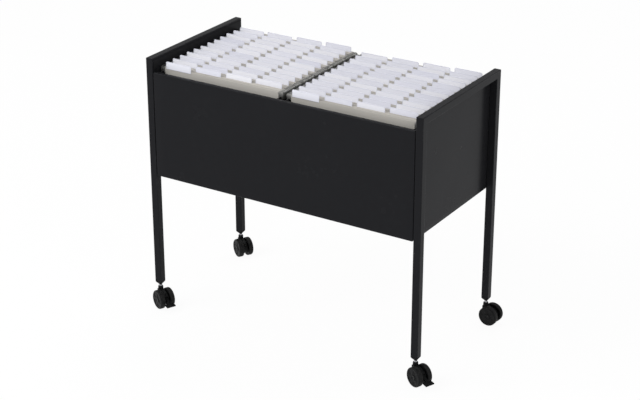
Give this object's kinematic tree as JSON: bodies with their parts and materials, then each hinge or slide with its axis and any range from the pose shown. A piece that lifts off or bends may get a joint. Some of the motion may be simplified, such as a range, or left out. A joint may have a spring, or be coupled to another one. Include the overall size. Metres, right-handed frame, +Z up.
{
  "type": "mobile file cart",
  "caption": "Rolling office cart: an open-topped black sheet-steel case on square-tube legs holds tabbed hanging files in side-by-side bays and rolls on braked casters.",
  "frame": {"origin": "on the floor, under the middle of the tube frame", "axes": "+X to the right across both bays, +Y from the front to the back, +Z up"},
  "size_m": [0.796, 0.4041, 0.65],
  "materials": {
    "black_paint": "satin",
    "black_plastic": "satin",
    "steel": "satin",
    "file_card": "matte"
  },
  "bodies": {
    "cart": {"left_side_frame": "black_paint", "right_side_frame": "black_paint", "left_side_panel": "black_paint", "right_side_panel": "black_paint", "front_panel": "black_paint", "rear_panel": "black_paint", "left_rail": "black_paint", "centre_rail": "black_paint", "right_rail": "black_paint", "front_left_leg_plug": "black_plastic", "front_left_caster_stem": "steel", "front_right_leg_plug": "black_plastic", "front_right_caster_stem": "steel", "rear_left_leg_plug": "black_plastic", "rear_left_caster_stem": "steel", "rear_right_leg_plug": "black_plastic", "rear_right_caster_stem": "steel"},
    "front_left_caster": {"front_left_caster_body": "black_plastic", "front_left_axle": "steel"},
    "front_left_wheel_1": {"front_left_wheel_1": "black_plastic"},
    "front_left_wheel_2": {"front_left_wheel_2": "black_plastic"},
    "front_left_brake_lever": {"front_left_brake_lever": "black_plastic"},
    "front_right_caster": {"front_right_caster_body": "black_plastic", "front_right_axle": "steel"},
    "front_right_wheel_1": {"front_right_wheel_1": "black_plastic"},
    "front_right_wheel_2": {"front_right_wheel_2": "black_plastic"},
    "front_right_brake_lever": {"front_right_brake_lever": "black_plastic"},
    "rear_left_caster": {"rear_left_caster_body": "black_plastic", "rear_left_axle": "steel"},
    "rear_left_wheel_1": {"rear_left_wheel_1": "black_plastic"},
    "rear_left_wheel_2": {"rear_left_wheel_2": "black_plastic"},
    "rear_right_caster": {"rear_right_caster_body": "black_plastic", "rear_right_axle": "steel"},
    "rear_right_wheel_1": {"rear_right_wheel_1": "black_plastic"},
    "rear_right_wheel_2": {"rear_right_wheel_2": "black_plastic"},
    "left_file_01": {"left_file_01": "file_card"},
    "left_file_02": {"left_file_02": "file_card"},
    "left_file_03": {"left_file_03": "file_card"},
    "left_file_04": {"left_file_04": "file_card"},
    "left_file_05": {"left_file_05": "file_card"},
    "left_file_06": {"left_file_06": "file_card"},
    "left_file_07": {"left_file_07": "file_card"},
    "left_file_08": {"left_file_08": "file_card"},
    "left_file_09": {"left_file_09": "file_card"},
    "left_file_10": {"left_file_10": "file_card"},
    "left_file_11": {"left_file_11": "file_card"},
    "left_file_12": {"left_file_12": "file_card"},
    "right_file_01": {"right_file_01": "file_card"},
    "right_file_02": {"right_file_02": "file_card"},
    "right_file_03": {"right_file_03": "file_card"},
    "right_file_04": {"right_file_04": "file_card"},
    "right_file_05": {"right_file_05": "file_card"},
    "right_file_06": {"right_file_06": "file_card"},
    "right_file_07": {"right_file_07": "file_card"},
    "right_file_08": {"right_file_08": "file_card"},
    "right_file_09": {"right_file_09": "file_card"},
    "right_file_10": {"right_file_10": "file_card"},
    "right_file_11": {"right_file_11": "file_card"},
    "right_file_12": {"right_file_12": "file_card"}
  },
  "joints": [
    {"name": "front_left_swivel", "type": "hinge", "parent": "cart", "child": "front_left_caster", "pos_m": [-0.3621, -0.175, 0.05], "axis": [0, 0, 1], "continuous": true},
    {"name": "front_left_wheel_1_spin", "type": "hinge", "parent": "front_left_caster", "child": "front_left_wheel_1", "pos_m": [-0.34851, -0.18134, 0.024], "axis": [0.4226, 0.9063, 0], "continuous": true},
    {"name": "front_left_wheel_2_spin", "type": "hinge", "parent": "front_left_caster", "child": "front_left_wheel_2", "pos_m": [-0.34851, -0.18134, 0.024], "axis": [0.4226, 0.9063, 0], "continuous": true},
    {"name": "front_left_brake_tip", "type": "hinge", "parent": "front_left_caster", "child": "front_left_brake_lever", "pos_m": [-0.33718, -0.18662, 0.028], "axis": [-0.4226, -0.9063, 0], "range_deg": [0, 20]},
    {"name": "front_right_swivel", "type": "hinge", "parent": "cart", "child": "front_right_caster", "pos_m": [0.3621, -0.175, 0.05], "axis": [0, 0, 1], "continuous": true},
    {"name": "front_right_wheel_1_spin", "type": "hinge", "parent": "front_right_caster", "child": "front_right_wheel_1", "pos_m": [0.37601, -0.18062, 0.024], "axis": [0.3746, 0.9272, 0], "continuous": true},
    {"name": "front_right_wheel_2_spin", "type": "hinge", "parent": "front_right_caster", "child": "front_right_wheel_2", "pos_m": [0.37601, -0.18062, 0.024], "axis": [0.3746, 0.9272, 0], "continuous": true},
    {"name": "front_right_brake_tip", "type": "hinge", "parent": "front_right_caster", "child": "front_right_brake_lever", "pos_m": [0.3876, -0.1853, 0.028], "axis": [-0.3746, -0.9272, 0], "range_deg": [0, 20]},
    {"name": "rear_left_swivel", "type": "hinge", "parent": "cart", "child": "rear_left_caster", "pos_m": [-0.3621, 0.175, 0.05], "axis": [0, 0, 1], "continuous": true},
    {"name": "rear_left_wheel_1_spin", "type": "hinge", "parent": "rear_left_caster", "child": "rear_left_wheel_1", "pos_m": [-0.34924, 0.16727, 0.024], "axis": [0.515, 0.8572, 0], "continuous": true},
    {"name": "rear_left_wheel_2_spin", "type": "hinge", "parent": "rear_left_caster", "child": "rear_left_wheel_2", "pos_m": [-0.34924, 0.16727, 0.024], "axis": [0.515, 0.8572, 0], "continuous": true},
    {"name": "rear_right_swivel", "type": "hinge", "parent": "cart", "child": "rear_right_caster", "pos_m": [0.3621, 0.175, 0.05], "axis": [0, 0, 1], "continuous": true},
    {"name": "rear_right_wheel_1_spin", "type": "hinge", "parent": "rear_right_caster", "child": "rear_right_wheel_1", "pos_m": [0.37708, 0.17422, 0.024], "axis": [0.0523, 0.9986, 0], "continuous": true},
    {"name": "rear_right_wheel_2_spin", "type": "hinge", "parent": "rear_right_caster", "child": "rear_right_wheel_2", "pos_m": [0.37708, 0.17422, 0.024], "axis": [0.0523, 0.9986, 0], "continuous": true},
    {"name": "left_file_01_slide", "type": "slide", "parent": "cart", "child": "left_file_01", "axis": [0, 1, 0], "range_m": [-0.012, 0.024]},
    {"name": "left_file_02_slide", "type": "slide", "parent": "cart", "child": "left_file_02", "axis": [0, 1, 0], "range_m": [-0.01104, 0.02208]},
    {"name": "left_file_03_slide", "type": "slide", "parent": "cart", "child": "left_file_03", "axis": [0, 1, 0], "range_m": [-0.01008, 0.02016]},
    {"name": "left_file_04_slide", "type": "slide", "parent": "cart", "child": "left_file_04", "axis": [0, 1, 0], "range_m": [-0.00912, 0.01824]},
    {"name": "left_file_05_slide", "type": "slide", "parent": "cart", "child": "left_file_05", "axis": [0, 1, 0], "range_m": [-0.00816, 0.01632]},
    {"name": "left_file_06_slide", "type": "slide", "parent": "cart", "child": "left_file_06", "axis": [0, 1, 0], "range_m": [-0.0072, 0.0144]},
    {"name": "left_file_07_slide", "type": "slide", "parent": "cart", "child": "left_file_07", "axis": [0, 1, 0], "range_m": [-0.00624, 0.01248]},
    {"name": "left_file_08_slide", "type": "slide", "parent": "cart", "child": "left_file_08", "axis": [0, 1, 0], "range_m": [-0.00528, 0.01056]},
    {"name": "left_file_09_slide", "type": "slide", "parent": "cart", "child": "left_file_09", "axis": [0, 1, 0], "range_m": [-0.00432, 0.00864]},
    {"name": "left_file_10_slide", "type": "slide", "parent": "cart", "child": "left_file_10", "axis": [0, 1, 0], "range_m": [-0.00336, 0.00672]},
    {"name": "left_file_11_slide", "type": "slide", "parent": "cart", "child": "left_file_11", "axis": [0, 1, 0], "range_m": [-0.0024, 0.0048]},
    {"name": "left_file_12_slide", "type": "slide", "parent": "cart", "child": "left_file_12", "axis": [0, 1, 0], "range_m": [-0.00144, 0.00288]},
    {"name": "right_file_01_slide", "type": "slide", "parent": "cart", "child": "right_file_01", "axis": [0, 1, 0], "range_m": [-0.012, 0.024]},
    {"name": "right_file_02_slide", "type": "slide", "parent": "cart", "child": "right_file_02", "axis": [0, 1, 0], "range_m": [-0.01104, 0.02208]},
    {"name": "right_file_03_slide", "type": "slide", "parent": "cart", "child": "right_file_03", "axis": [0, 1, 0], "range_m": [-0.01008, 0.02016]},
    {"name": "right_file_04_slide", "type": "slide", "parent": "cart", "child": "right_file_04", "axis": [0, 1, 0], "range_m": [-0.00912, 0.01824]},
    {"name": "right_file_05_slide", "type": "slide", "parent": "cart", "child": "right_file_05", "axis": [0, 1, 0], "range_m": [-0.00816, 0.01632]},
    {"name": "right_file_06_slide", "type": "slide", "parent": "cart", "child": "right_file_06", "axis": [0, 1, 0], "range_m": [-0.0072, 0.0144]},
    {"name": "right_file_07_slide", "type": "slide", "parent": "cart", "child": "right_file_07", "axis": [0, 1, 0], "range_m": [-0.00624, 0.01248]},
    {"name": "right_file_08_slide", "type": "slide", "parent": "cart", "child": "right_file_08", "axis": [0, 1, 0], "range_m": [-0.00528, 0.01056]},
    {"name": "right_file_09_slide", "type": "slide", "parent": "cart", "child": "right_file_09", "axis": [0, 1, 0], "range_m": [-0.00432, 0.00864]},
    {"name": "right_file_10_slide", "type": "slide", "parent": "cart", "child": "right_file_10", "axis": [0, 1, 0], "range_m": [-0.00336, 0.00672]},
    {"name": "right_file_11_slide", "type": "slide", "parent": "cart", "child": "right_file_11", "axis": [0, 1, 0], "range_m": [-0.0024, 0.0048]},
    {"name": "right_file_12_slide", "type": "slide", "parent": "cart", "child": "right_file_12", "axis": [0, 1, 0], "range_m": [-0.00144, 0.00288]}
  ],
  "couplings": [
    {"joint": "left_file_02_slide", "follows": "left_file_01_slide", "ratio": 0.92},
    {"joint": "left_file_03_slide", "follows": "left_file_01_slide", "ratio": 0.84},
    {"joint": "left_file_04_slide", "follows": "left_file_01_slide", "ratio": 0.76},
    {"joint": "left_file_05_slide", "follows": "left_file_01_slide", "ratio": 0.68},
    {"joint": "left_file_06_slide", "follows": "left_file_01_slide", "ratio": 0.6},
    {"joint": "left_file_07_slide", "follows": "left_file_01_slide", "ratio": 0.52},
    {"joint": "left_file_08_slide", "follows": "left_file_01_slide", "ratio": 0.44},
    {"joint": "left_file_09_slide", "follows": "left_file_01_slide", "ratio": 0.36},
    {"joint": "left_file_10_slide", "follows": "left_file_01_slide", "ratio": 0.28},
    {"joint": "left_file_11_slide", "follows": "left_file_01_slide", "ratio": 0.2},
    {"joint": "left_file_12_slide", "follows": "left_file_01_slide", "ratio": 0.12},
    {"joint": "right_file_02_slide", "follows": "right_file_01_slide", "ratio": 0.92},
    {"joint": "right_file_03_slide", "follows": "right_file_01_slide", "ratio": 0.84},
    {"joint": "right_file_04_slide", "follows": "right_file_01_slide", "ratio": 0.76},
    {"joint": "right_file_05_slide", "follows": "right_file_01_slide", "ratio": 0.68},
    {"joint": "right_file_06_slide", "follows": "right_file_01_slide", "ratio": 0.6},
    {"joint": "right_file_07_slide", "follows": "right_file_01_slide", "ratio": 0.52},
    {"joint": "right_file_08_slide", "follows": "right_file_01_slide", "ratio": 0.44},
    {"joint": "right_file_09_slide", "follows": "right_file_01_slide", "ratio": 0.36},
    {"joint": "right_file_10_slide", "follows": "right_file_01_slide", "ratio": 0.28},
    {"joint": "right_file_11_slide", "follows": "right_file_01_slide", "ratio": 0.2},
    {"joint": "right_file_12_slide", "follows": "right_file_01_slide", "ratio": 0.12}
  ]
}
